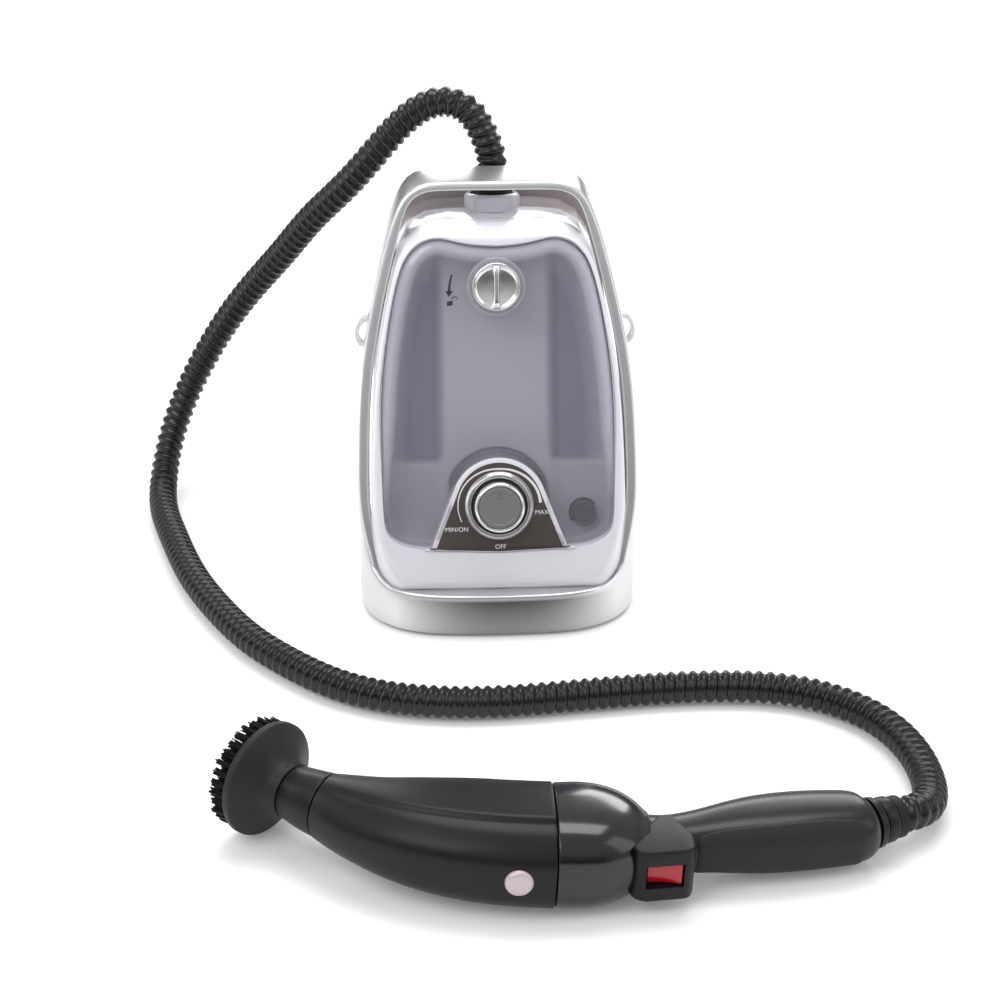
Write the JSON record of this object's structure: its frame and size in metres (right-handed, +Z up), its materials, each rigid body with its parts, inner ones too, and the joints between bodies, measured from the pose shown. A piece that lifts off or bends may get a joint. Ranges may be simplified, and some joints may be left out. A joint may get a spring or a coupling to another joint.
{
  "type": "steam cleaner",
  "caption": "Portable steam cleaner: leaning unit with a clear pull-off water tank, carry frame and steam dial, a ribbed hose, and a hand piece with a round brush.",
  "frame": {"origin": "bottom centre of the box round the unit and the hand piece, on the floor they stand on, without the free hose", "axes": "+Z up, -Y out of the unit's front, +X to the right of someone facing that front"},
  "size_m": [0.4915, 0.5673, 0.3208],
  "materials": {
    "silver_frame": "satin silver lacquer on a moulded frame",
    "pearl_shell": "glossy pearl white with a lavender cast",
    "warm_grey": "smooth satin warm grey",
    "lavender_liner": "satin grey lavender behind the clear tank",
    "smoked_clear": "clear moulding with a lavender smoke tint",
    "strap_clear": "frosted clear moulding",
    "chromed": "satin chrome plate",
    "slate_cap": "smooth slate grey",
    "brown_label": "dark brown printed label",
    "black_gloss": "piano black",
    "charcoal": "fine satin charcoal",
    "dark_grip": "matt dark grey",
    "grip_rubber": "soft textured grip",
    "red_switch": "glossy red",
    "button_pink": "satin pearl pink",
    "hose_black": "ribbed black plastic sleeve",
    "bristle_black": "black nylon bristles",
    "soft_black": "black rubber",
    "brass_parts": "plain turned brass",
    "steel_parts": "plain steel",
    "boiler_alu": "cast aluminium",
    "board_green": "green circuit board",
    "clear_tube": "clear silicone"
  },
  "bodies": {
    "main": {"handle_frame": "silver_frame", "dial_bezel": "silver_frame", "front_shell": "pearl_shell", "hose_collar": "pearl_shell", "dial_housing": "pearl_shell", "rear_cover": "warm_grey", "tank_bay": "lavender_liner", "strap_lug_left": "strap_clear", "strap_lug_right": "strap_clear", "dial_label": "brown_label", "trigger_body": "black_gloss", "switch_hood": "charcoal", "end_collar": "charcoal", "base_plate": "charcoal", "outlet_seat": "charcoal", "hose_connector": "charcoal", "thermostat": "charcoal", "water_pump": "charcoal", "handle_shell": "dark_grip", "grip_insert": "grip_rubber", "steam_hose": "hose_black", "rubber_foot_1": "soft_black", "rubber_foot_2": "soft_black", "rubber_foot_3": "soft_black", "rubber_foot_4": "soft_black", "outlet_seal": "soft_black", "hose_cuff": "soft_black", "hose_tail_cuff": "soft_black", "cable_gland": "soft_black", "steam_valve": "brass_parts", "steam_tube": "brass_parts", "base_screw_1": "steel_parts", "base_screw_2": "steel_parts", "base_screw_3": "steel_parts", "base_screw_4": "steel_parts", "dial_switch": "steel_parts", "heater_band": "steel_parts", "pump_bracket": "steel_parts", "connector_nut": "steel_parts", "boiler": "boiler_alu", "control_board": "board_green", "feed_tube": "clear_tube", "boiler_inlet_tube": "clear_tube"},
    "tank": {"water_tank": "smoked_clear", "tank_valve": "charcoal"},
    "lock": {"lock_knob": "chromed", "lock_cam": "steel_parts"},
    "dial": {"dial_knob": "chromed", "dial_cap": "slate_cap"},
    "nozzle": {"nozzle_shell": "charcoal", "neck_ring": "charcoal", "steam_pipe": "brass_parts", "release_spring": "steel_parts"},
    "brush": {"brush_head": "charcoal", "brush_bristles": "bristle_black"},
    "button": {"release_button": "button_pink"},
    "rocker": {"rocker_switch": "red_switch"},
    "swivel": {"swivel_ring": "charcoal"}
  },
  "joints": [
    {"name": "tank_slide", "type": "slide", "parent": "main", "child": "tank", "axis": [0, -0.9511, 0.309], "range_m": [0, 0.06]},
    {"name": "lock_turn", "type": "hinge", "parent": "tank", "child": "lock", "pos_m": [-0.02235, 0.12515, 0.21593], "axis": [0, -0.9511, 0.309], "range_deg": [0, 90]},
    {"name": "dial_turn", "type": "hinge", "parent": "main", "child": "dial", "pos_m": [-0.02235, 0.08179, 0.0825], "axis": [0, -0.9511, 0.309], "range_deg": [-90, 180]},
    {"name": "nozzle_pull", "type": "slide", "parent": "main", "child": "nozzle", "axis": [-0.999, 0, 0.0436], "range_m": [0, 0.03]},
    {"name": "brush_turn", "type": "hinge", "parent": "nozzle", "child": "brush", "pos_m": [-0.14541, -0.16957, 0.03346], "axis": [-0.7653, 0.6428, 0.0334], "continuous": true},
    {"name": "release_press", "type": "slide", "parent": "nozzle", "child": "button", "axis": [0, 1, 0], "range_m": [0, 0.0025], "stiffness_N_per_m": 800, "springref_m": -0.002},
    {"name": "rocker_tilt", "type": "hinge", "parent": "main", "child": "rocker", "pos_m": [0.0504, -0.23527, 0.02491], "axis": [0.0436, 0, 0.999], "range_deg": [-6, 6]},
    {"name": "swivel_turn", "type": "hinge", "parent": "main", "child": "swivel", "pos_m": [0.16529, -0.19477, 0.0199], "axis": [0.9127, 0.4067, -0.0398], "continuous": true}
  ]
}
